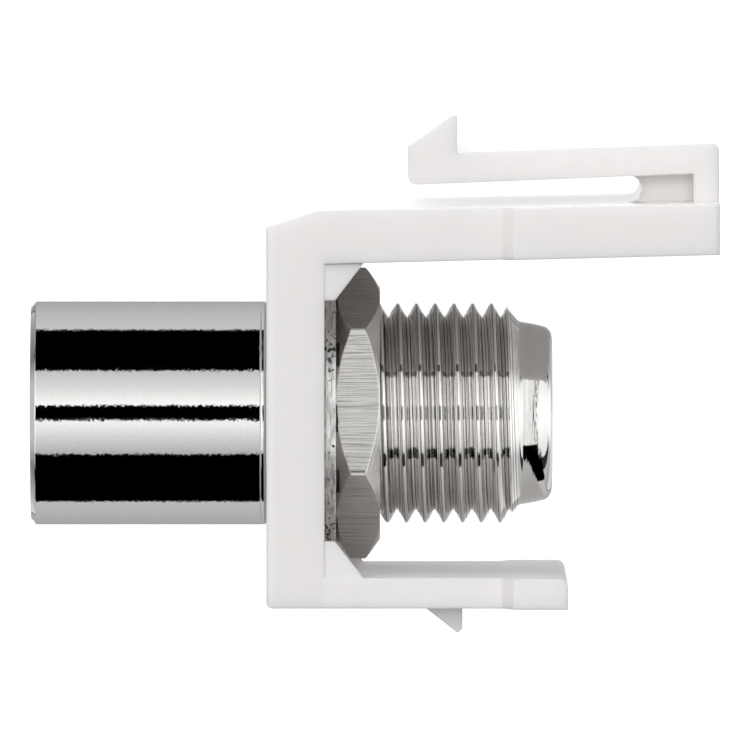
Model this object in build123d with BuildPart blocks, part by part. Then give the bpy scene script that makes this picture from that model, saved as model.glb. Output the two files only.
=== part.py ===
from build123d import *
from math import cos, radians, tan
import os

# Snap-in coaxial adapter. A white moulded housing clips into a wall-plate opening and carries
# one turned barrel: a smooth plug shell at the front and a threaded F socket at the rear.
# Millimetres. X is the connector axis, plug towards -X, and x = 0 is the housing's front face.
# Z is up, with the flexing latch on top, and Y runs across the housing.

# Fits
slide_gap = 0.04
press_gap = 0.02
overrun = 1.0

# Plug end of the barrel
shell_diameter = 9.5
shell_length = 10.0
shell_front_chamfer = 0.2
shell_rear_chamfer = 0.12
shell_bore = 8.2
shell_bore_depth = 8.8
shell_mouth_chamfer = 0.25

# Threaded end of the barrel, 3/8-32
thread_diameter = 9.33
thread_depth = 0.57
thread_pitch = 0.79375
thread_angle = 60.0
thread_first_crest = 3.949
thread_end = 10.07
thread_flat_distance = 3.95
relief_length = 0.7
barrel_length_behind_face = 12.09
nose_slope_length = 0.65
nose_shoulder_diameter = 7.79
nose_tip_diameter = 7.2
nose_corner_radius = 0.45
middle_bore = 4.6
socket_floor = 3.6
socket_bore = 6.4
lip_thickness = 0.5
lip_bore = 5.2

# Centre contact
pin_diameter = 2.35
pin_tip_diameter = 0.9
pin_recess = 0.6
neck_diameter = 2.0
collar_diameter = 3.3
collar_front = -0.4
collar_length = 1.0
shank_diameter = 1.8
shank_length = 4.0
contact_diameter = 2.7
contact_length = 10.0
tine_length = 4.8
tine_slot = 0.35
mouth_length = 1.4
mouth_diameter = 2.1
mouth_bore = 1.0

# Insulators
plug_flange_length = 1.4
plug_hub_end = 3.4
contact_room = 3.3
entry_wall = 0.7
entry_diameter = 1.3
entry_funnel_diameter = 2.7
entry_funnel_depth = 0.5
insulator_recess = 0.12

# Lock washer and nut
washer_thickness = 0.48
washer_diameter = 12.4
washer_bore = 9.6
washer_teeth = 12
washer_tooth_depth = 0.75
washer_slot_width = 1.1
nut_thickness = 1.86
nut_across_flats = 10.8
nut_turn = 22.5
nut_chamfer_angle = 36.0
nut_bore_chamfer = 0.35

# Housing: front wall and the two arms
wall_thickness = 2.45
face_top = 8.11
face_bottom = -7.93
front_width = 14.5
bevel_length = 2.1
bevel_top = 8.82
arm_top_rear = 9.16
arm_under_front = 6.58
arm_under_rear = 7.0
housing_length = 19.08
lower_arm_top = -6.65
lower_arm_length = 12.7
lower_arm_corner = 0.35
face_edge_radius = 0.28

# Housing: rear shoulders
shoulder_position = 9.96
shoulder_slope = 0.45
rear_width = 16.4
rear_edge_radius = 0.25

# Housing: gussets in the inner corners
gusset_reach = 1.63
gusset_foot = 0.45
gusset_height = 1.53
gusset_thickness = 0.95
gusset_inset = 0.1

# Housing: latch folded back over the upper arm
latch_width = 12.0
latch_under_front = 9.87
latch_under_rear = 10.35
latch_top_front = 11.22
latch_top_rear = 11.62
latch_front = 5.97
latch_catch = 8.05
latch_tip_height = 12.78
latch_tip_flat = 0.22
latch_ramp_start = 11.5
latch_nose_radius = 0.35
latch_corner_radius = 0.3
end_wall_thickness = 1.08
web_front = 15.25
web_width = 9.0

# Housing: fixed hook under the lower arm
hook_start = 6.6
hook_catch = 8.27
hook_depth = 1.15
hook_tip_flat = 0.2
hook_tip_radius = 0.12
hook_width = 10.0

# Places worked out from the sizes above
shell_radius = shell_diameter / 2
thread_radius = thread_diameter / 2
relief_radius = thread_radius - thread_depth
shell_floor = shell_bore_depth - shell_length
lip_face = barrel_length_behind_face - lip_thickness
nose_start = thread_end + nose_slope_length
latch_end_wall = housing_length - end_wall_thickness
plug_flange_front = shell_floor - plug_flange_length
washer_back = wall_thickness + washer_thickness
nut_back = washer_back + nut_thickness
nut_flat_radius = nut_across_flats / 2
nut_corner_radius = nut_flat_radius / cos(radians(30))
contact_front = collar_front + collar_length


def height_at(x, x_start, z_start, x_end, z_end):
    """Height of a straight sloping edge at x."""
    return z_start + (z_end - z_start) * (x - x_start) / (x_end - x_start)


def corner_at(sketch, x, z):
    """The corner of a side view that lies at x, z."""
    return sketch.vertices().sort_by_distance((x, z))[0]


# Snap-in housing, one moulding
latch_under_at_web = height_at(web_front, latch_front, latch_under_front, latch_end_wall, latch_under_rear)
arm_top_at_web = height_at(web_front, bevel_length, bevel_top, housing_length, arm_top_rear)

with BuildPart() as snap_in_housing:
    # Front wall and both arms, drawn as one C-shaped side view
    with BuildSketch(Plane.XZ):
        with BuildLine():
            Polyline(
                (0, face_bottom),
                (lower_arm_length, face_bottom),
                (lower_arm_length, lower_arm_top),
                (wall_thickness, lower_arm_top),
                (wall_thickness, arm_under_front),
                (housing_length, arm_under_rear),
                (housing_length, arm_top_rear),
                (bevel_length, bevel_top),
                (0, face_top),
                close=True,
            )
        make_face()
    extrude(amount=rear_width / 2, both=True)

    # The part in front of the shoulders is narrower, and each shoulder has a sloping front
    with BuildSketch(Plane.XY.offset(face_bottom - overrun)):
        for side in (-1, 1):
            with BuildLine():
                Polyline(
                    (-overrun, side * front_width / 2),
                    (shoulder_position, side * front_width / 2),
                    (shoulder_position + shoulder_slope, side * rear_width / 2),
                    (shoulder_position + shoulder_slope, side * (rear_width / 2 + overrun)),
                    (-overrun, side * (rear_width / 2 + overrun)),
                    close=True,
                )
            make_face()
    extrude(amount=arm_top_rear - face_bottom + 2 * overrun, mode=Mode.SUBTRACT)

    # Rounded edges of the front face, the lower arm's end and the shoulders' rear corners
    front_face = snap_in_housing.faces().sort_by(Axis.X)[0]
    fillet(front_face.edges().sort_by(Axis.Z)[:-1], face_edge_radius)
    lower_arm_edge = snap_in_housing.edges().filter_by(Axis.Y).sort_by_distance(
        (lower_arm_length, 0, lower_arm_top)
    )[0]
    fillet(lower_arm_edge, lower_arm_corner)
    rear_uprights = snap_in_housing.edges().filter_by(Axis.Z).group_by(Axis.X)[-1]
    fillet(rear_uprights, rear_edge_radius)

    # Latch: an arm folded back from the rear end, with a ramp and a square catch
    with BuildSketch(Plane.XZ) as latch_view:
        with BuildLine():
            Polyline(
                (latch_end_wall, arm_top_rear - end_wall_thickness),
                (housing_length, arm_top_rear - end_wall_thickness),
                (housing_length, latch_top_rear),
                (latch_catch, latch_top_front),
                (latch_catch, latch_tip_height),
                (latch_catch - latch_tip_flat, latch_tip_height),
                (latch_front, latch_ramp_start),
                (latch_front, latch_under_front),
                (latch_end_wall, latch_under_rear),
                close=True,
            )
        make_face()
        fillet(corner_at(latch_view, latch_front, latch_under_front), latch_nose_radius)
        fillet(corner_at(latch_view, housing_length, latch_top_rear), latch_corner_radius)
    extrude(amount=latch_width / 2, both=True)

    # Web that stiffens the fold, with a round end to the slot
    with BuildSketch(Plane.XZ):
        with BuildLine():
            slot_top = Line((latch_end_wall, latch_under_rear), (web_front, latch_under_at_web))
            slot_end = ThreePointArc(
                slot_top @ 1,
                (
                    web_front + (latch_under_at_web - arm_top_at_web) / 2,
                    (latch_under_at_web + arm_top_at_web) / 2,
                ),
                (web_front, arm_top_at_web),
            )
            Polyline(
                slot_end @ 1,
                (web_front, arm_top_at_web - end_wall_thickness),
                (latch_end_wall, arm_top_at_web - end_wall_thickness),
                slot_top @ 0,
            )
        make_face()
    extrude(amount=web_width / 2, both=True)

    # Fixed hook under the lower arm
    with BuildSketch(Plane.XZ) as hook_view:
        with BuildLine():
            Polyline(
                (hook_start, face_bottom),
                (hook_catch - hook_tip_flat, face_bottom - hook_depth),
                (hook_catch, face_bottom - hook_depth + hook_tip_flat),
                (hook_catch, face_bottom),
                close=True,
            )
        make_face()
        fillet(corner_at(hook_view, hook_catch - hook_tip_flat, face_bottom - hook_depth), hook_tip_radius)
    extrude(amount=hook_width / 2, both=True)

    # Gussets between the wall and the arms
    for side in (-1, 1):
        gusset_plane = Plane.XZ.offset(side * (front_width / 2 - gusset_inset - gusset_thickness / 2))
        with BuildSketch(gusset_plane):
            with BuildLine():
                Polyline(
                    (wall_thickness, arm_under_front),
                    (wall_thickness + gusset_reach, arm_under_front),
                    (wall_thickness + gusset_foot, arm_under_front - gusset_height),
                    (wall_thickness, arm_under_front - gusset_height),
                    close=True,
                )
            make_face()
            with BuildLine():
                Polyline(
                    (wall_thickness, lower_arm_top),
                    (wall_thickness + gusset_reach, lower_arm_top),
                    (wall_thickness + gusset_foot, lower_arm_top + gusset_height),
                    (wall_thickness, lower_arm_top + gusset_height),
                    close=True,
                )
            make_face()
        extrude(amount=gusset_thickness / 2, both=True)

    # D-shaped hole that stops the barrel turning
    with BuildSketch(Plane.YZ):
        Circle(thread_radius + slide_gap)
        with Locations((thread_flat_distance + slide_gap, 0)):
            Rectangle(
                thread_diameter,
                thread_diameter + overrun,
                align=(Align.MIN, Align.CENTER),
                mode=Mode.SUBTRACT,
            )
    extrude(amount=wall_thickness, mode=Mode.SUBTRACT)

snap_in_housing.part.label = "snap_in_housing"


# Connector barrel, one turning: plug shell, threaded socket and rolled nose
with BuildPart() as connector_barrel:
    with BuildSketch(Plane.XZ) as turned_profile:
        with BuildLine():
            Polyline(
                (-shell_length, shell_bore / 2 + shell_mouth_chamfer),
                (-shell_length, shell_radius - shell_front_chamfer),
                (-shell_length + shell_front_chamfer, shell_radius),
                (-shell_rear_chamfer, shell_radius),
                (0, shell_radius - shell_rear_chamfer / 2),
                (0, relief_radius),
                (relief_length, relief_radius),
                (relief_length, thread_radius),
                (thread_end, thread_radius),
                (nose_start, nose_shoulder_diameter / 2),
                (barrel_length_behind_face, nose_tip_diameter / 2),
                (barrel_length_behind_face, lip_bore / 2),
                (lip_face, lip_bore / 2),
                (lip_face, socket_bore / 2),
                (socket_floor, socket_bore / 2),
                (socket_floor, middle_bore / 2),
                (shell_floor, middle_bore / 2),
                (shell_floor, shell_bore / 2),
                (-shell_length + shell_mouth_chamfer, shell_bore / 2),
                close=True,
            )
        make_face()
        rolled_corner = corner_at(turned_profile, barrel_length_behind_face, nose_tip_diameter / 2)
        fillet(rolled_corner, nose_corner_radius)
    revolve(axis=Axis.X)

    # Right-hand thread: a V-groove run along a helix and out through the nose slope
    groove_half_width = (thread_depth + press_gap) * tan(radians(thread_angle / 2))
    groove_start = thread_first_crest + thread_pitch / 2
    groove_length = barrel_length_behind_face - groove_start
    with BuildLine() as thread_path:
        Helix(
            pitch=thread_pitch,
            height=groove_length,
            radius=thread_radius - thread_depth,
            center=(groove_start, 0, 0),
            direction=(1, 0, 0),
        )
    groove_plane = Plane(
        origin=thread_path.line @ 0,
        x_dir=(1, 0, 0),
        z_dir=thread_path.line % 0,
    )
    with BuildSketch(groove_plane):
        with BuildLine():
            Polyline(
                (0, 0),
                (groove_half_width, thread_depth + press_gap),
                (-groove_half_width, thread_depth + press_gap),
                close=True,
            )
        make_face()
    sweep(path=thread_path.wire(), is_frenet=True, mode=Mode.SUBTRACT)

    # Milled flat on the far side, which keys the barrel in the housing's hole
    with BuildSketch(Plane.XZ.offset(-thread_flat_distance)):
        Rectangle(nose_start, thread_diameter, align=(Align.MIN, Align.CENTER))
    extrude(amount=-thread_diameter / 2, mode=Mode.SUBTRACT)

connector_barrel.part.label = "connector_barrel"


# Centre pin, turned, with a tapered tip, a neck in the plug insulator, a collar and a shank for the contact
with BuildPart() as centre_pin:
    pin_radius = pin_diameter / 2
    pin_tip = pin_recess - shell_length
    with BuildSketch(Plane.XZ):
        with BuildLine():
            Polyline(
                (pin_tip, 0),
                (pin_tip, pin_tip_diameter / 2),
                (pin_tip + pin_radius, pin_radius),
                (plug_flange_front, pin_radius),
                (plug_flange_front, neck_diameter / 2),
                (collar_front, neck_diameter / 2),
                (collar_front, collar_diameter / 2),
                (contact_front, collar_diameter / 2),
                (contact_front, shank_diameter / 2),
                (contact_front + shank_length, shank_diameter / 2),
                (contact_front + shank_length, 0),
                close=True,
            )
        make_face()
    revolve(axis=Axis.X)

centre_pin.part.label = "centre_pin"


# Socket contact, a tube pushed on the shank, with four tines that close at the mouth
with BuildPart() as socket_contact:
    contact_end = contact_front + contact_length
    contact_bore_radius = shank_diameter / 2 + press_gap
    with BuildSketch(Plane.XZ):
        with BuildLine():
            Polyline(
                (contact_front, contact_bore_radius),
                (contact_front, contact_diameter / 2),
                (contact_end - mouth_length, contact_diameter / 2),
                (contact_end, mouth_diameter / 2),
                (contact_end, mouth_bore / 2),
                (contact_end - mouth_length, contact_bore_radius),
                close=True,
            )
        make_face()
    revolve(axis=Axis.X)
    with BuildSketch(Plane.YZ.offset(contact_end - tine_length)):
        Rectangle(contact_diameter + overrun, tine_slot)
        Rectangle(tine_slot, contact_diameter + overrun)
    extrude(amount=tine_length + overrun, mode=Mode.SUBTRACT)

socket_contact.part.label = "socket_contact"


# Plug insulator, a flanged bush moulded round the pin's neck
with BuildPart() as plug_insulator:
    with BuildSketch(Plane.XZ):
        with BuildLine():
            Polyline(
                (plug_flange_front, neck_diameter / 2 + press_gap),
                (plug_flange_front, shell_bore / 2 - press_gap),
                (shell_floor, shell_bore / 2 - press_gap),
                (shell_floor, middle_bore / 2 - press_gap),
                (plug_hub_end, middle_bore / 2 - press_gap),
                (plug_hub_end, collar_diameter / 2 + press_gap),
                (collar_front, collar_diameter / 2 + press_gap),
                (collar_front, neck_diameter / 2 + press_gap),
                close=True,
            )
        make_face()
    revolve(axis=Axis.X)

plug_insulator.part.label = "plug_insulator"


# Socket insulator, a cup held under the rolled lip, with a funnel for the cable's wire
with BuildPart() as socket_insulator:
    insulator_end = barrel_length_behind_face - insulator_recess
    with BuildSketch(Plane.XZ):
        with BuildLine():
            Polyline(
                (socket_floor, contact_room / 2),
                (socket_floor, socket_bore / 2 - press_gap),
                (lip_face, socket_bore / 2 - press_gap),
                (lip_face, lip_bore / 2 - press_gap),
                (insulator_end, lip_bore / 2 - press_gap),
                (insulator_end, entry_funnel_diameter / 2),
                (insulator_end - entry_funnel_depth, entry_diameter / 2),
                (insulator_end - entry_funnel_depth - entry_wall, entry_diameter / 2),
                (insulator_end - entry_funnel_depth - entry_wall, contact_room / 2),
                close=True,
            )
        make_face()
    revolve(axis=Axis.X)

socket_insulator.part.label = "socket_insulator"


# Lock washer, a thin ring with teeth on its bore
with BuildPart() as lock_washer:
    with BuildSketch(Plane.YZ.offset(wall_thickness)):
        Circle(washer_diameter / 2)
        Circle(washer_bore / 2, mode=Mode.SUBTRACT)
        with PolarLocations(washer_bore / 2, washer_teeth):
            Rectangle(2 * washer_tooth_depth, washer_slot_width, mode=Mode.SUBTRACT)
    extrude(amount=washer_thickness)

lock_washer.part.label = "lock_washer"


# Hex nut, chamfered on both faces
with BuildPart() as hex_nut:
    with BuildSketch(Plane.YZ.offset(washer_back)):
        RegularPolygon(nut_flat_radius, 6, major_radius=False, rotation=nut_turn)
    extrude(amount=nut_thickness)
    chamfer_rise = (nut_corner_radius - nut_flat_radius) * tan(radians(nut_chamfer_angle))
    with BuildSketch(Plane.XZ):
        with BuildLine():
            Polyline(
                (washer_back, 0),
                (washer_back, nut_flat_radius),
                (washer_back + chamfer_rise, nut_corner_radius),
                (nut_back - chamfer_rise, nut_corner_radius),
                (nut_back, nut_flat_radius),
                (nut_back, 0),
                close=True,
            )
        make_face()
    revolve(axis=Axis.X, mode=Mode.INTERSECT)
    # Threaded bore, shown plain, with a countersink at each end
    with BuildSketch(Plane.XZ):
        nut_bore_radius = thread_radius + slide_gap
        with BuildLine():
            Polyline(
                (washer_back, 0),
                (washer_back, nut_bore_radius + nut_bore_chamfer),
                (washer_back + nut_bore_chamfer, nut_bore_radius),
                (nut_back - nut_bore_chamfer, nut_bore_radius),
                (nut_back, nut_bore_radius + nut_bore_chamfer),
                (nut_back, 0),
                close=True,
            )
        make_face()
    revolve(axis=Axis.X, mode=Mode.SUBTRACT)

hex_nut.part.label = "hex_nut"


os.makedirs("parts", exist_ok=True)
for piece in (
    snap_in_housing,
    connector_barrel,
    plug_insulator,
    centre_pin,
    socket_contact,
    socket_insulator,
    lock_washer,
    hex_nut,
):
    export_step(piece.part, f"parts/{piece.part.label}.step")
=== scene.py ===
from math import cos, pi, radians, sin, tan

import bmesh
import bpy
import numpy as np
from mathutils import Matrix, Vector


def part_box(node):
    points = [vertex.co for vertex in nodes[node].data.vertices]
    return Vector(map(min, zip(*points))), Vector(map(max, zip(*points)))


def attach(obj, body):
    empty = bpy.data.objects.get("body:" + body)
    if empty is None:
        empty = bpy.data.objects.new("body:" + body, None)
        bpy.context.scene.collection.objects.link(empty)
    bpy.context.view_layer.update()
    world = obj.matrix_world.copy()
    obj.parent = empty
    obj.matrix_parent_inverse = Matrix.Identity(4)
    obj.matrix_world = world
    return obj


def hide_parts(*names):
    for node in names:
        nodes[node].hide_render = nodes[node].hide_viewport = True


# Looks of a white snap-in module that carries one nickel-plated coaxial barrel, held by a nut and washer.
# Everything is in metres in the model's own frame: X along the connector's axis, Z up.

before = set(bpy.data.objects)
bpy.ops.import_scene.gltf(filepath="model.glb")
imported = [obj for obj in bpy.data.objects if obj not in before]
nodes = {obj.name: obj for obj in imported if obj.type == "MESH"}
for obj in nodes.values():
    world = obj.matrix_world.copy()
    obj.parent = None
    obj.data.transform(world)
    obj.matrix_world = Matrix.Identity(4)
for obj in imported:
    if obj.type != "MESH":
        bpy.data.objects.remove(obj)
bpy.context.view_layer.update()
mm = 0.001

# The photograph: what lies at its centre, how high it looks from, and how wide it sees
view_centre = Vector((4.58 * mm, 0.0, 1.61 * mm))
view_elevation = radians(2.4)
view_distance = 0.9
view_width = 31.82 * mm
sensor_width = 36.0

# Housing: the height of the middle of its upper arm
upper_arm_middle = 8 * mm

# Barrel
barrel_low, barrel_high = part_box("connector_barrel")
barrel_front = barrel_low.x
barrel_rear = barrel_high.x
shell_radius = barrel_high.z
front_chamfer = 0.2 * mm
front_chamfer_inner_arc = 0.08 * mm
front_chamfer_outer_arc = 0.12 * mm
rear_chamfer_length = 0.12 * mm
rear_chamfer_depth = 0.06 * mm
shell_bore = 4.1 * mm
shell_bore_chamfer = 0.25 * mm
shell_floor_arc = 0.1 * mm
shell_floor = -1.2 * mm
shell_line_place = -0.24 * mm
shell_line_depth = 0.01 * mm
shell_line_reach = 0.035 * mm
relief_length = 0.7 * mm
thread_radius = 4.665 * mm
thread_depth = 0.57 * mm
thread_pitch = 0.79375 * mm
thread_angle = radians(60)
flank_bulge = 0.07
thread_first_crest = 3.949 * mm
thread_flat_distance = 3.95 * mm
least_far_side = 0.1
slope_start = 10.07 * mm
slope_end = 10.72 * mm
slope_arc = 0.35 * mm
nose_shoulder_radius = 3.895 * mm
nose_tip_radius = 3.6 * mm
nose_corner = 0.45 * mm
nose_bulge = 0.03 * mm
nose_rows = 12
taper_shares = (0.25, 0.7)
lip_corner = 0.12 * mm
edge_rows = 0.03 * mm
middle_bore = 2.3 * mm
socket_floor = 3.6 * mm
socket_bore = 3.2 * mm
lip_thickness = 0.5 * mm
lip_bore = 2.6 * mm
barrel_columns = 216
rows_in_pitch = 30

# Nut and washer
nut_low, nut_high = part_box("hex_nut")
nut_flat_radius = 5.4 * mm
nut_turn = radians(22.5)
nut_chamfer_angle = radians(36)
nut_bore = thread_radius + 0.04 * mm
nut_bore_chamfer = 0.35 * mm
nut_edge = 0.03 * mm
nut_corner_cut = radians(29.4)
worn_share = 0.8
washer_low, washer_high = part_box("lock_washer")
washer_bore = 4.8 * mm
washer_teeth = 12
tooth_depth = 0.75 * mm
slot_width = 1.1 * mm
washer_edge = 0.05 * mm
ring_columns = 360

# Points nearer than this are one point
merge_distance = 0.002 * mm


# Surfaces

def rounded(profile, radii, steps=6):
    """A profile whose corners are arcs where a radius is given. An arc starts and ends
    radius / tan(half the corner's angle) from the corner, and is the conic that is tangent to both
    sides there."""
    points = np.asarray(profile, float)
    share = np.linspace(0, 1, steps + 1)[:, None]
    points_before = np.roll(points, 1, axis=0)
    points_after = np.roll(points, -1, axis=0)
    pieces = []
    for corner, before, after, radius in zip(points, points_before, points_after, radii):
        if not radius:
            pieces.append(corner[None])
            continue
        back = (before - corner) / np.linalg.norm(before - corner)
        ahead = (after - corner) / np.linalg.norm(after - corner)
        half_angle = np.arccos(back @ ahead) / 2
        reach = radius / tan(half_angle)
        pull = sin(half_angle)
        weights = np.hstack([(1 - share) ** 2, 2 * pull * share * (1 - share), share ** 2])
        ends = np.stack([corner + back * reach, corner, corner + ahead * reach])
        pieces.append(weights @ ends / weights.sum(axis=1, keepdims=True))
    return np.concatenate(pieces)


def around_axis(along, radius, angle):
    """Points at (x, -r sin a, r cos a): a starts at the top and turns towards the camera's side."""
    along, radius, angle = np.broadcast_arrays(along, radius, angle)
    return np.stack([along, -radius * np.sin(angle), radius * np.cos(angle)], axis=-1)


def grid_piece(name, points, pattern, zones, crease):
    """A mesh object of a grid of points, one quad for each step in both directions. pattern is each point's
    place in the surface's own pattern, kept as a UV map, and zones gives each row of quads its material.
    Points that meet are merged, which closes the seam, and edges sharper than crease stay crisp."""
    rows, columns = points.shape[:2]
    row, column = np.meshgrid(np.arange(rows - 1), np.arange(columns - 1), indexing="ij")
    first = (row * columns + column).ravel()
    quads = np.stack([first, first + columns, first + columns + 1, first + 1], axis=1)
    mesh = bpy.data.meshes.new(name)
    mesh.from_pydata(points.reshape(-1, 3), [], quads)
    mesh.uv_layers.new(name="pattern").data.foreach_set("uv", pattern.reshape(-1, 2)[quads.ravel()].ravel())
    mesh.polygons.foreach_set("material_index", np.repeat(zones, columns - 1).astype(np.int32))
    mesh.polygons.foreach_set("use_smooth", np.ones(len(quads), bool))
    shape = bmesh.new()
    shape.from_mesh(mesh)
    bmesh.ops.remove_doubles(shape, verts=shape.verts, dist=merge_distance)
    bmesh.ops.recalc_face_normals(shape, faces=shape.faces)
    shape.to_mesh(mesh)
    shape.free()
    mesh.set_sharp_from_angle(angle=crease)
    piece = bpy.data.objects.new(name, mesh)
    bpy.context.scene.collection.objects.link(piece)
    return piece


def dress(piece, node, materials):
    """The piece rides on the body and takes the given finishes, and its node is hidden."""
    for material in materials:
        piece.data.materials.append(material)
    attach(piece, "root")
    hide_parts(node)


def run_along(along, radius):
    """How far each row lies along a profile, in millimetres: the lengths of its steps, added up."""
    steps = np.hypot(np.diff(along, axis=0), np.diff(radius, axis=0))
    return np.concatenate([np.zeros_like(steps[:1]), np.cumsum(steps, axis=0)]) / mm


def turned_piece(name, along, radius, angle, run, zones, crease):
    """A piece whose rows lie round the axis. Its pattern is the run along the profile and the share of a
    turn, which starts at the grid's own first column."""
    share = np.linspace(0, 1, angle.shape[1])[None]
    pattern = np.stack([run, np.broadcast_to(share, run.shape)], axis=-1)
    return grid_piece(name, around_axis(along, radius, angle), pattern, zones, crease)


def all_round(angle, *places):
    """Rows of a grid, one for each place. A single number is the same all the way round."""
    return np.concatenate([np.broadcast_to(place, angle.shape) for place in places])


def thread_rows(angle):
    """The threaded zone. A row keeps its phase, so it climbs one pitch in a turn: x = s + pitch a / 2 pi.
    The radius falls from the crest's narrow land to the root along a flank that bulges by a sine, as a worn
    tool cuts it, and never stands above the slope behind the thread."""
    half_groove = thread_depth * tan(thread_angle / 2) / thread_pitch
    half_land = 0.5 - half_groove
    pitches = np.ceil((slope_end - thread_first_crest) / thread_pitch)
    phase = np.arange(-rows_in_pitch, pitches * rows_in_pitch + 1)[:, None] / rows_in_pitch
    along = thread_first_crest + thread_pitch * (phase + angle / (2 * pi))
    along = np.clip(along, thread_first_crest, slope_end)
    from_crest = np.abs(phase - np.round(phase))
    down = np.clip((from_crest - half_land) / half_groove, 0, 1)
    fall = thread_depth * (down - flank_bulge * np.sin(pi * down))
    lead_in = np.clip((along - thread_first_crest) / thread_pitch, 0, 1)
    steepness = (thread_radius - nose_shoulder_radius) / (slope_end - slope_start)
    slope = nose_shoulder_radius + (slope_end - along) * steepness
    return along, np.minimum(thread_radius - fall * lead_in, slope), phase


def barrel():
    """Plug shell, relief, thread and rolled nose outside, then the stepped bore back to the front, all turned
    round the axis. The taper bulges by 4 b s (1 - s), with b its greatest bulge and s its share. Beyond the
    milled flat on the far side the radius is the flat's distance / the far side's share, -sin a."""
    angle = np.linspace(0, 2 * pi, barrel_columns + 1)[None]
    root_radius = thread_radius - thread_depth
    front = rounded(
        [
            (barrel_front, shell_bore + shell_bore_chamfer),
            (barrel_front, shell_radius - front_chamfer),
            (barrel_front + front_chamfer, shell_radius),
            (barrel_front + front_chamfer + 2 * edge_rows, shell_radius),
            (shell_line_place - shell_line_reach - edge_rows, shell_radius),
            (shell_line_place - shell_line_reach, shell_radius),
            (shell_line_place, shell_radius - shell_line_depth),
            (shell_line_place + shell_line_reach, shell_radius),
            (-rear_chamfer_length, shell_radius),
            (0, shell_radius - rear_chamfer_depth),
            (0, root_radius),
            (relief_length, root_radius),
            (relief_length, thread_radius),
        ],
        [0, front_chamfer_inner_arc, front_chamfer_outer_arc] + 10 * [0],
    )
    share = np.linspace(*taper_shares, nose_rows)
    straight = nose_shoulder_radius + (nose_tip_radius - nose_shoulder_radius) * share
    taper = np.stack([
        slope_end + (barrel_rear - slope_end) * share,
        straight + 4 * nose_bulge * share * (1 - share),
    ], axis=1)
    nose = rounded(
        [
            (slope_start, thread_radius),
            (slope_end, nose_shoulder_radius),
            *taper,
            (barrel_rear, nose_tip_radius),
            (barrel_rear, lip_bore),
            (barrel_rear - lip_thickness, lip_bore),
        ],
        [0, slope_arc] + nose_rows * [0] + [nose_corner, lip_corner, 0],
    )[1:]
    bore = rounded(
        [
            (barrel_rear - lip_thickness, socket_bore),
            (socket_floor, socket_bore),
            (socket_floor, middle_bore),
            (shell_floor, middle_bore),
            (shell_floor, shell_bore),
            (barrel_front + shell_bore_chamfer, shell_bore),
            (barrel_front, shell_bore + shell_bore_chamfer),
        ],
        [0, 0, 0, 0, shell_floor_arc, 0, 0],
    )
    thread_along, thread_radii, phase = thread_rows(angle)
    ones = np.ones_like(angle)
    along = np.concatenate([front[:, :1] * ones, thread_along, nose[:, :1] * ones, bore[:, :1] * ones])
    radius = np.concatenate([front[:, 1:] * ones, thread_radii, nose[:, 1:] * ones, bore[:, 1:] * ones])
    run = run_along(along, radius)
    run[len(front):len(front) + len(phase)] = phase
    far_side = np.maximum(-np.sin(angle), least_far_side)
    beyond = (along > 0) & (along < slope_end) & (far_side * radius > thread_flat_distance)
    radius = np.where(beyond, thread_flat_distance / far_side, radius)
    zones = np.repeat([0, 1, 2, 3], [len(front), len(phase), len(nose), len(bore)])[:-1]
    return turned_piece("nickel_barrel", along, radius, angle, run, zones, radians(25))


def nut():
    """Hexagon with both faces chamfered by a cone. The flats stand at flat radius / cos(angle from the flat's
    middle), a cylinder cuts the corners where that angle reaches nut_corner_cut, and the chamfer starts where
    the cone reaches the flat. A row just inside the chamfer's edge makes the edge look worn."""
    angle = np.linspace(0, 2 * pi, ring_columns + 1)[None]
    from_flat = (angle + pi / 6) % (pi / 3) - pi / 6
    flats = np.minimum(nut_flat_radius / np.cos(from_flat), nut_flat_radius / cos(nut_corner_cut))
    chamfer = (flats - nut_flat_radius) * tan(nut_chamfer_angle) + nut_edge
    worn_inwards = worn_share * nut_edge * tan(nut_chamfer_angle)
    worn = flats - worn_share * nut_edge
    face = nut_flat_radius - nut_edge
    countersink = nut_bore + nut_bore_chamfer
    along = all_round(
        angle,
        nut_low.x + nut_bore_chamfer,
        nut_low.x,
        nut_low.x,
        nut_low.x + chamfer - worn_inwards,
        nut_low.x + chamfer + nut_edge,
        nut_high.x - chamfer - nut_edge,
        nut_high.x - chamfer + worn_inwards,
        nut_high.x,
        nut_high.x,
        nut_high.x - nut_bore_chamfer,
        nut_low.x + nut_bore_chamfer,
    )
    radius = all_round(
        angle, nut_bore, countersink, face, worn, flats, flats, worn, face, countersink, nut_bore, nut_bore
    )
    zones = np.array([0, 0, 0, 1, 1, 1, 0, 0, 0, 0])
    run = run_along(along, radius)
    return turned_piece("nickel_nut", along, radius, angle + nut_turn, run, zones, radians(20))


def washer():
    """Flat ring whose bore steps out to the slots between its teeth."""
    angle = np.linspace(0, 2 * pi, ring_columns + 1)[None]
    spacing = 2 * pi / washer_teeth
    slot_half_angle = slot_width / 2 / (washer_bore + tooth_depth / 2)
    from_slot = np.abs((angle + pi / 2 + spacing / 2) % spacing - spacing / 2)
    inner = washer_bore + tooth_depth * (from_slot < slot_half_angle)
    rim = washer_high.z
    shoulder = rim - washer_edge
    along = all_round(
        angle,
        washer_low.x,
        washer_low.x,
        washer_low.x + washer_edge,
        washer_high.x - washer_edge,
        washer_high.x,
        washer_high.x,
        washer_low.x,
    )
    radius = all_round(angle, inner, shoulder, rim, rim, shoulder, inner, inner)
    zones = np.array([0, 1, 1, 1, 0, 0])
    run = run_along(along, radius)
    return turned_piece("nickel_washer", along, radius, angle, run, zones, radians(30))


# Node trees

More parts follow.
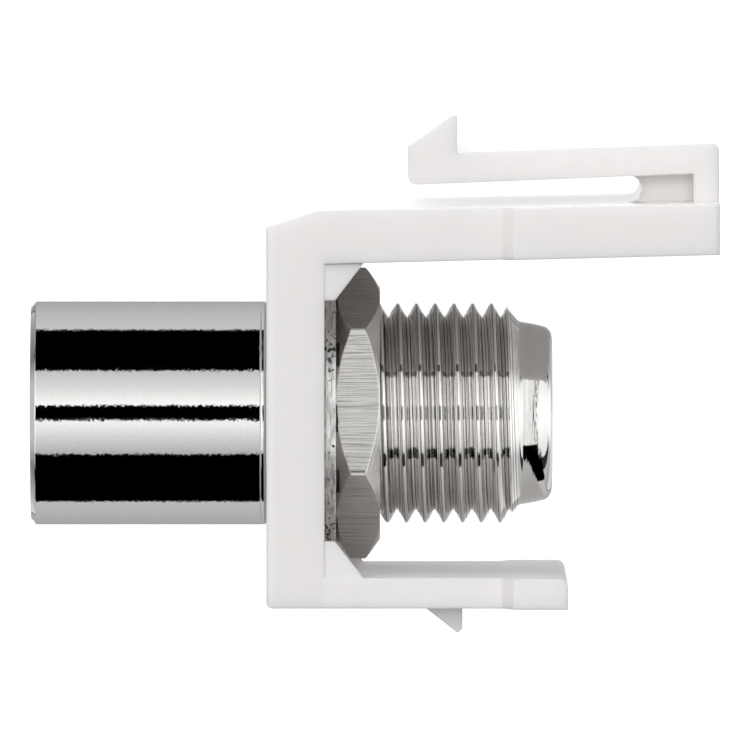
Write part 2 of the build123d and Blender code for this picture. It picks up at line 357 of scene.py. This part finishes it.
class Nodes:
    """A node tree being built, one node at a time."""

    def __init__(self, tree):
        self.tree = tree
        tree.nodes.clear()

    def add(self, kind, inputs=(), **settings):
        """A new node. An input is given by name or number, as a value or as another node's output."""
        node = self.tree.nodes.new(kind)
        for name, value in settings.items():
            setattr(node, name, value)
        for name, value in dict(inputs).items():
            if isinstance(value, bpy.types.NodeSocket):
                self.tree.links.new(value, node.inputs[name])
            else:
                node.inputs[name].default_value = value
        return node

    def group(self, tree, **inputs):
        """The outputs of a shared group placed in this tree."""
        return self.add("ShaderNodeGroup", inputs, node_tree=tree).outputs

    def object_place(self):
        """The place on the object, in metres."""
        return self.add("ShaderNodeTexCoord").outputs["Object"]

    def stretch(self, place, factors):
        """A place multiplied by a factor for each direction."""
        return self.add("ShaderNodeVectorMath", {0: place, 1: factors}, operation="MULTIPLY").outputs[0]

    def between(self, share, at_zero, at_one):
        """A value that runs from at_zero to at_one while share runs from 0 to 1."""
        return self.spread(share, 0.0, 1.0, at_zero, at_one)

    def math(self, operation, first, second=0.0, third=0.0):
        """The result of one arithmetic step."""
        inputs = {0: first, 1: second, 2: third}
        return self.add("ShaderNodeMath", inputs, operation=operation).outputs[0]

    def noise(self, place, scale, detail=2.0, kind="3D"):
        """A noise value from 0 to 1, over a vector or, for kind 1D, over one number."""
        where = "W" if kind == "1D" else "Vector"
        inputs = {where: place, "Scale": scale, "Detail": detail}
        return self.add("ShaderNodeTexNoise", inputs, noise_dimensions=kind).outputs[0]

    def spread(self, value, low, high, to_low=0.0, to_high=1.0):
        """value's stretch from low to high, moved to the stretch from to_low to to_high, and held there."""
        inputs = {0: value, 1: low, 2: high, 3: to_low, 4: to_high}
        return self.add("ShaderNodeMapRange", inputs).outputs[0]

    def greys(self, value, stops):
        """Grey levels between stops, given as pairs of place and level."""
        node = self.add("ShaderNodeValToRGB", {0: value})
        elements = node.color_ramp.elements
        while len(elements) < len(stops):
            elements.new(0.5)
        for element, (place, level) in zip(elements, stops):
            element.position = place
            element.color = (level, level, level, 1)
        return node.outputs[0]

    def tint(self, factor, dark, light):
        """A colour between dark and light."""
        inputs = {"Factor": factor, "A": (*dark, 1), "B": (*light, 1)}
        node = self.add("ShaderNodeMix", data_type="RGBA")
        for name, value in inputs.items():
            socket = [one for one in node.inputs if one.name == name and one.enabled][0]
            if isinstance(value, bpy.types.NodeSocket):
                self.tree.links.new(value, socket)
            else:
                socket.default_value = value
        return [one for one in node.outputs if one.enabled][0]

    def bump(self, height, depth, under=None):
        """A normal tilted by height, which stands depth high in metres, on top of another normal."""
        inputs = {"Height": height, "Strength": 1.0, "Distance": depth}
        if under is not None:
            inputs["Normal"] = under
        return self.add("ShaderNodeBump", inputs).outputs[0]

    def surface(self, **inputs):
        """The shader, joined to the output."""
        named = {name.replace("_", " "): value for name, value in inputs.items()}
        shader = self.add("ShaderNodeBsdfPrincipled", named)
        self.add("ShaderNodeOutputMaterial", {"Surface": shader.outputs[0]})


def new_group(name, inputs, outputs):
    """A shared node group: the builder of its tree, its group input and its group output."""
    tree = bpy.data.node_groups.new(name, "ShaderNodeTree")
    for label, kind, value in inputs:
        socket = tree.interface.new_socket(label, in_out="INPUT", socket_type=kind)
        if value is not None:
            socket.default_value = value
    for label, kind in outputs:
        tree.interface.new_socket(label, in_out="OUTPUT", socket_type=kind)
    build = Nodes(tree)
    return build, build.add("NodeGroupInput"), build.add("NodeGroupOutput")


def join(build, output, **values):
    """Joins each value to the group output's socket of that name."""
    for name, value in values.items():
        build.tree.links.new(value, output.inputs[name])


def lathe_marks():
    """Fine lines that a tool leaves round a turned surface: noise over the place along the profile alone.
    The height is fine + weight x broad, and the tone follows the fine lines."""
    broad_offset, broad_scale, broad_weight = 37.0, 0.31, 1.5
    build, given, output = new_group(
        "lathe_marks",
        [("Place", "NodeSocketFloat", 0.0), ("Lines", "NodeSocketFloat", 20.0)],
        [("Height", "NodeSocketFloat"), ("Tone", "NodeSocketFloat")],
    )
    place = build.math("MULTIPLY", given.outputs["Place"], given.outputs["Lines"])
    fine = build.noise(place, 1.0, 2.0, "1D")
    broad = build.noise(build.math("ADD", place, broad_offset), broad_scale, 1.0, "1D")
    height = build.math("ADD", fine, build.math("MULTIPLY", broad, broad_weight))
    join(build, output, Height=height, Tone=build.spread(fine, 0.3, 0.7))
    return build.tree


def plating_ripple():
    """The slight waviness of plating: noise drawn out round the axis, so that a reflection's edge
    is ragged."""
    build, given, output = new_group(
        "plating_ripple",
        [("Place", "NodeSocketVector", None), ("Grain", "NodeSocketFloat", 8000.0)],
        [("Height", "NodeSocketFloat")],
    )
    drawn = build.stretch(given.outputs["Place"], (1.0, 0.4, 0.4))
    height = build.noise(drawn, given.outputs["Grain"], 2.0)
    join(build, output, Height=height)
    return build.tree


def drawn_lines():
    """Lines that run along X on drawn bar: noise that changes quickly round the axis and slowly along it."""
    lines_per_turn, changes_per_mm = 950.0, 0.35
    build, given, output = new_group(
        "drawn_lines",
        [("Along", "NodeSocketFloat", 0.0), ("Turns", "NodeSocketFloat", 0.0)],
        [("Height", "NodeSocketFloat"), ("Tone", "NodeSocketFloat")],
    )
    along = build.math("MULTIPLY", given.outputs["Along"], changes_per_mm)
    turns = build.math("MULTIPLY", given.outputs["Turns"], lines_per_turn)
    place = build.add("ShaderNodeCombineXYZ", {0: along, 1: turns}).outputs[0]
    lines = build.noise(place, 1.0, 2.0)
    join(build, output, Height=lines, Tone=build.spread(lines, 0.34, 0.5))
    return build.tree


def mould_grain():
    """The faint cloudiness and fine texture of a moulded surface."""
    fine_grain, cloud_grain = 9000.0, 260.0
    build, given, output = new_group(
        "mould_grain",
        [("Place", "NodeSocketVector", None)],
        [("Height", "NodeSocketFloat"), ("Cloud", "NodeSocketFloat")],
    )
    fine = build.noise(given.outputs["Place"], fine_grain, 3.0)
    cloud = build.noise(given.outputs["Place"], cloud_grain, 2.0)
    join(build, output, Height=fine, Cloud=build.spread(cloud, 0.3, 0.7))
    return build.tree


# Materials

def new_material(name):
    """A new material and the builder of its tree."""
    material = bpy.data.materials.new(name)
    material.use_nodes = True
    return material, Nodes(material.node_tree)


def pattern_parts(build):
    """The piece's own pattern: how far along its profile, and how far round."""
    place = build.add("ShaderNodeUVMap", uv_map="pattern").outputs[0]
    parts = build.add("ShaderNodeSeparateXYZ", {0: place})
    return parts.outputs["X"], parts.outputs["Y"]


def polished_nickel(groups):
    """The plug shell: almost a mirror, with a ripple that frays the edges of what it reflects."""
    material, build = new_material("polished_nickel")
    along = pattern_parts(build)[0]
    ripple = build.group(groups["plating_ripple"], Place=build.object_place(), Grain=8000.0)
    marks = build.group(groups["lathe_marks"], Place=along, Lines=14.0)
    build.surface(
        Base_Color=build.tint(marks["Tone"], (0.80, 0.79, 0.775), (0.815, 0.805, 0.79)),
        Metallic=1.0,
        Roughness=build.between(marks["Tone"], 0.03, 0.05),
        Normal=build.bump(ripple["Height"], 0.006 * mm),
    )
    return material


def cut_nickel(groups):
    """The thread: each flank carries the same lines in every turn, because one tool cut them all, and a few
    stray ones of its own."""
    material, build = new_material("cut_nickel")
    along = pattern_parts(build)[0]
    ripple = build.group(groups["plating_ripple"], Place=build.object_place(), Grain=7000.0)
    marks = build.group(groups["lathe_marks"], Place=build.math("FRACT", along), Lines=15.0)
    stray = build.group(groups["lathe_marks"], Place=along, Lines=19.0)
    half_stray = build.math("MULTIPLY", stray["Tone"], 0.5)
    tone = build.math("MULTIPLY_ADD", marks["Tone"], 0.5, half_stray)
    normal = build.bump(ripple["Height"], 0.003 * mm)
    normal = build.bump(marks["Height"], 0.006 * mm, normal)
    normal = build.bump(stray["Height"], 0.003 * mm, normal)
    build.surface(
        Base_Color=build.tint(build.spread(tone, 0.25, 0.54), (0.22, 0.214, 0.205), (0.955, 0.945, 0.93)),
        Metallic=1.0,
        Roughness=build.between(tone, 0.1, 0.03),
        Normal=normal,
    )
    return material


def rolled_nickel(groups):
    """The slope and rolled nose: turned, then pressed over, so a little wavy."""
    material, build = new_material("rolled_nickel")
    place = build.object_place()
    along = pattern_parts(build)[0]
    waves = build.group(groups["plating_ripple"], Place=place, Grain=1500.0)
    ripple = build.group(groups["plating_ripple"], Place=place, Grain=6000.0)
    marks = build.group(groups["lathe_marks"], Place=along, Lines=16.0)
    normal = build.bump(waves["Height"], 0.0045 * mm)
    normal = build.bump(ripple["Height"], 0.0018 * mm, normal)
    normal = build.bump(marks["Height"], 0.0005 * mm, normal)
    build.surface(
        Base_Color=build.tint(marks["Tone"], (0.8, 0.79, 0.77), (0.85, 0.84, 0.82)),
        Metallic=1.0,
        Roughness=build.between(marks["Tone"], 0.035, 0.06),
        Normal=normal,
    )
    return material


def turned_nickel(groups, name, lines, dark, light, roughness, depth):
    """Plainly turned metal: the lines along the profile tint it, roughen it between two values and tilt
    its normal."""
    material, build = new_material(name)
    marks = build.group(groups["lathe_marks"], Place=pattern_parts(build)[0], Lines=lines)
    build.surface(
        Base_Color=build.tint(marks["Tone"], dark, light),
        Metallic=1.0,
        Roughness=build.between(marks["Tone"], *roughness),
        Normal=build.bump(marks["Height"], depth),
    )
    return material


def bored_nickel(groups):
    """Inside the bores: turned and thinly plated, duller than outside."""
    dark, light = (0.58, 0.57, 0.55), (0.70, 0.69, 0.67)
    return turned_nickel(groups, "bored_nickel", 9.0, dark, light, (0.2, 0.3), 0.004 * mm)


def faced_nickel(groups):
    """The nut's faces and chamfers and the washer's faces, which a tool cut across."""
    dark, light = (0.62, 0.605, 0.585), (0.74, 0.73, 0.71)
    return turned_nickel(groups, "faced_nickel", 18.0, dark, light, (0.16, 0.26), 0.003 * mm)


def drawn_nickel(groups):
    """The nut's flats: the bar's drawing lines show through the plating."""
    material, build = new_material("drawn_nickel")
    along, turns = pattern_parts(build)
    lines = build.group(groups["drawn_lines"], Along=along, Turns=turns)
    build.surface(
        Base_Color=build.tint(lines["Tone"], (0.32, 0.31, 0.295), (0.69, 0.68, 0.66)),
        Metallic=1.0,
        Roughness=build.between(lines["Tone"], 0.3, 0.2),
        Normal=build.bump(lines["Height"], 0.0025 * mm),
    )
    return material


def stamped_nickel(groups):
    """The washer's torn edge: pits in a bright skin, gathered in patches."""
    pit_grain, patch_grain, skin_grain, patch_weight = 5200.0, 420.0, 1900.0, 0.4
    material, build = new_material("stamped_nickel")
    place = build.object_place()
    pits = build.noise(place, pit_grain, 4.0)
    patches = build.noise(place, patch_grain, 1.0)
    skin = build.noise(build.stretch(place, (6.0, 0.8, 0.8)), skin_grain, 4.0)
    bare = build.math("MULTIPLY_ADD", patches, patch_weight, pits)
    depth = build.spread(bare, 0.54, 0.62)
    tone = build.math("MULTIPLY", depth, build.spread(skin, 0.36, 0.6, 0.45, 1.0))
    build.surface(
        Base_Color=build.tint(tone, (0.06, 0.055, 0.05), (0.95, 0.94, 0.92)),
        Metallic=1.0,
        Roughness=build.between(depth, 0.6, 0.35),
        Normal=build.bump(skin, 0.009 * mm),
    )
    return material


def white_moulding(groups):
    """The housing: white plastic, with edges rounded as a mould leaves them. The core that shaped the inside
    of the C left it duller than the outside."""
    edge_rounding = 0.14 * mm
    wall_blend, arm_blend = 0.2 * mm, 2 * mm
    material, build = new_material("housing_plastic")
    place = build.object_place()
    grain = build.group(groups["mould_grain"], Place=place)
    parts = build.add("ShaderNodeSeparateXYZ", {0: place})
    behind_wall = build.spread(parts.outputs["X"], washer_low.x - wall_blend, washer_low.x)
    under_arm = build.spread(parts.outputs["Z"], upper_arm_middle, upper_arm_middle - arm_blend)
    inside = build.math("MULTIPLY", behind_wall, under_arm)
    soft_edge = build.add("ShaderNodeBevel", {"Radius": edge_rounding}, samples=8).outputs[0]
    build.surface(
        Base_Color=build.tint(grain["Cloud"], (0.89, 0.868, 0.86), (0.902, 0.881, 0.874)),
        Roughness=build.between(inside, 0.12, 0.32),
        Normal=build.bump(grain["Height"], 0.0003 * mm, soft_edge),
        Subsurface_Weight=0.6,
        Subsurface_Radius=(1.0, 0.95, 0.9),
        Subsurface_Scale=1.2 * mm,
    )
    return material


def waxy_insulator(groups):
    """The insulators: softer, slightly creamy plastic."""
    material, build = new_material("insulator_white")
    grain = build.group(groups["mould_grain"], Place=build.object_place())
    build.surface(
        Base_Color=build.tint(grain["Cloud"], (0.87, 0.865, 0.83), (0.89, 0.885, 0.86)),
        Roughness=0.3,
        Normal=build.bump(grain["Height"], 0.0006 * mm),
    )
    return material


def turned_contact(groups, name, dark, light, roughness):
    """The pin and the spring contact: turned metal with lines round the axis, up to roughness_range rougher
    between them."""
    lines_per_mm, roughness_range = 12.0, 0.08
    material, build = new_material(name)
    parts = build.add("ShaderNodeSeparateXYZ", {0: build.object_place()})
    along = build.math("DIVIDE", parts.outputs["X"], mm)
    marks = build.group(groups["lathe_marks"], Place=along, Lines=lines_per_mm)
    build.surface(
        Base_Color=build.tint(marks["Tone"], dark, light),
        Metallic=1.0,
        Roughness=build.between(marks["Tone"], roughness, roughness + roughness_range),
        Normal=build.bump(marks["Height"], 0.002 * mm),
    )
    return material


# Studio

# What metal sees by the angle about the X axis, in degrees from the camera's side, in four rings from across
# the axis to near it. Most stops were fitted to the bands that the plating shows in the photograph. The
# endwise ring's two dark stretches were chosen, for contrast in views from the side.
across = [
    (-180, 1.1), (-169, 1.1), (-168, 0.4), (-150, 0.46), (-104.5, 0.62), (-104, 0.0), (-43.5, 0.0),
    (-43, 0.52), (-25, 0.8), (-7.5, 1.15), (-7, 0.0), (7.5, 0.0), (8, 1.2), (25, 0.88), (44.5, 0.66),
    (45, 0.0), (95.5, 0.0), (96, 0.69), (122, 0.6), (150, 0.48), (168, 0.4), (169, 1.1), (180, 1.1),
]
leaning = [
    (-180, 0.42), (-104.5, 0.62), (-104, 0.0), (-43.5, 0.0), (-43, 1.3), (0, 1.9), (44.5, 1.6),
    (45, 0.31), (150, 0.31), (180, 0.42),
]
slanting = [
    (-180, 0.42), (-104.5, 0.62), (-104, 0.0), (-43.5, 0.0), (-43, 0.88), (0, 1.0), (44.5, 0.95),
    (45, 0.31), (150, 0.31), (180, 0.42),
]
endwise = [
    (-180, 0.85), (-150, 0.78), (-120, 0.45), (-86, 0.6), (-85, 0.03), (-64, 0.03), (-63, 0.9), (0, 1.35),
    (63, 0.9), (64, 0.03), (85, 0.03), (86, 0.6), (120, 0.4), (150, 0.52), (180, 0.7),
]

# Where each ring gives way to the next, and the last to the end boxes, by the direction's share along X
ring_steps = [(0.18, 0.22), (0.29, 0.31), (0.404, 0.412), (0.88, 0.97)]
end_box_level = 1.25
# This gap makes the dark spot on the nose. It also makes the shell look frosted from 24 degrees to the side
thin_gap = [(0.0, 1.0), (0.386, 1.0), (0.39, 0.02), (0.403, 0.02), (0.407, 1.0)]
even_level = 0.35


def studio_world():
    """White to the camera, one even level to what scatters light, and to metal soft boxes with dark gaps
    between them: the four rings, a bright box at each end of the axis and one thin dark gap round it. The
    level falls by half towards the front end, which was chosen and not seen in the photograph."""
    world = bpy.data.worlds.new("studio")
    bpy.context.scene.world = world
    world.use_nodes = True
    build = Nodes(world.node_tree)
    parts = build.add("ShaderNodeSeparateXYZ", {0: build.add("ShaderNodeTexCoord").outputs["Generated"]})
    towards_camera = build.math("MULTIPLY", parts.outputs["Y"], -1.0)
    angle = build.math("ARCTAN2", parts.outputs["Z"], towards_camera)
    from_view = build.math("SUBTRACT", angle, view_elevation)
    place = build.math("FRACT", build.math("MULTIPLY_ADD", from_view, 1 / (2 * pi), 0.5))
    rings = [
        build.greys(place, [((degree + 180) / 360, level) for degree, level in ring])
        for ring in (across, leaning, slanting, endwise)
    ]
    off_axis = build.math("ABSOLUTE", parts.outputs["X"])
    level = rings[0]
    end_box = (end_box_level, end_box_level, end_box_level, 1)
    for (start, end), layer in zip(ring_steps, [*rings[1:], end_box]):
        factor = build.spread(off_axis, start, end)
        level = build.add("ShaderNodeMixRGB", {0: factor, 1: level, 2: layer}).outputs[0]
    gap = build.greys(off_axis, thin_gap)
    front_end = build.spread(parts.outputs["X"], -0.9, -0.45, 0.5, 1.0)
    for shade in (gap, front_end):
        inputs = {0: 1.0, 1: level, 2: shade}
        level = build.add("ShaderNodeMixRGB", inputs, blend_type="MULTIPLY").outputs[0]
    rays = build.add("ShaderNodeLightPath")
    seen = build.math("MAXIMUM", rays.outputs["Is Camera Ray"], rays.outputs["Is Transmission Ray"])
    even = build.add("ShaderNodeBackground", {"Color": (1, 1, 1, 1), "Strength": even_level})
    boxes = build.add("ShaderNodeBackground", {"Color": level, "Strength": 1.0})
    white = build.add("ShaderNodeBackground", {"Color": (1, 1, 1, 1), "Strength": 1.0})
    glossy = rays.outputs["Is Glossy Ray"]
    lit = build.add("ShaderNodeMixShader", {0: glossy, 1: even.outputs[0], 2: boxes.outputs[0]})
    shown = build.add("ShaderNodeMixShader", {0: seen, 1: lit.outputs[0], 2: white.outputs[0]})
    build.add("ShaderNodeOutputWorld", {"Surface": shown.outputs[0]})


def floor():
    """A wide pale floor, well below the module. It is clear to a camera that looks up from under it."""
    height = -0.04
    reach = 3.0
    paper_level, camera_glow = 0.36, 0.82
    sides = [(-reach, -reach), (reach, -reach), (reach, reach), (-reach, reach)]
    corners = [(x, y, height) for x, y in sides]
    mesh = bpy.data.meshes.new("floor")
    mesh.from_pydata(corners, [], [(0, 1, 2, 3)])
    material, build = new_material("floor_white")
    rays = build.add("ShaderNodeLightPath")
    paper = build.add("ShaderNodeBsdfDiffuse", {"Color": (paper_level, paper_level, paper_level, 1)})
    strength = build.math("MULTIPLY", rays.outputs["Is Camera Ray"], camera_glow)
    glow = build.add("ShaderNodeEmission", {"Strength": strength})
    both = build.add("ShaderNodeAddShader", {0: paper.outputs[0], 1: glow.outputs[0]})
    below = build.add("ShaderNodeNewGeometry").outputs["Backfacing"]
    hidden = build.math("MULTIPLY", below, rays.outputs["Is Camera Ray"])
    clear = build.add("ShaderNodeBsdfTransparent")
    shown = build.add("ShaderNodeMixShader", {0: hidden, 1: both.outputs[0], 2: clear.outputs[0]})
    build.add("ShaderNodeOutputMaterial", {"Surface": shown.outputs[0]})
    mesh.materials.append(material)
    sheet = bpy.data.objects.new("floor", mesh)
    bpy.context.scene.collection.objects.link(sheet)
    sheet.visible_glossy = False


def soft_light(name, towards, strength, spread_angle):
    """Light that shines in the direction towards, evenly from one wide patch of the studio."""
    light = bpy.data.lights.new(name, "SUN")
    light.energy = strength
    light.angle = spread_angle
    holder = bpy.data.objects.new(name, light)
    bpy.context.scene.collection.objects.link(holder)
    holder.rotation_euler = Vector(towards).to_track_quat("-Z", "Y").to_euler()
    holder.visible_glossy = False


def camera():
    """Looks along +Y, from a little above, from far enough away to show almost no perspective."""
    lens = bpy.data.cameras.new("camera")
    lens.sensor_width = sensor_width
    lens.lens = sensor_width * view_distance / view_width
    lens.clip_start = 0.01
    holder = bpy.data.objects.new("camera", lens)
    bpy.context.scene.collection.objects.link(holder)
    back = Vector((0, -cos(view_elevation), sin(view_elevation)))
    holder.location = view_centre + view_distance * back
    holder.rotation_euler = (pi / 2 - view_elevation, 0, 0)
    bpy.context.scene.camera = holder


groups = {tree.name: tree for tree in (lathe_marks(), plating_ripple(), drawn_lines(), mould_grain())}

barrel_finish = [polished_nickel(groups), cut_nickel(groups), rolled_nickel(groups), bored_nickel(groups)]
dress(barrel(), "connector_barrel", barrel_finish)
faced = faced_nickel(groups)
dress(nut(), "hex_nut", [faced, drawn_nickel(groups)])
dress(washer(), "lock_washer", [faced, stamped_nickel(groups)])

insulator = waxy_insulator(groups)
node_finish = {
    "snap_in_housing": white_moulding(groups),
    "plug_insulator": insulator,
    "socket_insulator": insulator,
    "centre_pin": turned_contact(groups, "pin_nickel", (0.74, 0.72, 0.67), (0.82, 0.8, 0.75), 0.12),
    "socket_contact": turned_contact(groups, "contact_bronze", (0.74, 0.55, 0.31), (0.82, 0.64, 0.4), 0.2),
}
for node, material in node_finish.items():
    nodes[node].material_slots[0].material = material

studio_world()
floor()
soft_light("front_light", (0.12, 0.98, -0.105), 2.33, radians(50))
soft_light("top_light", (0.25, 0.0, -0.97), 1.65, radians(60))
camera()
bpy.context.scene.view_settings.view_transform = "Standard"
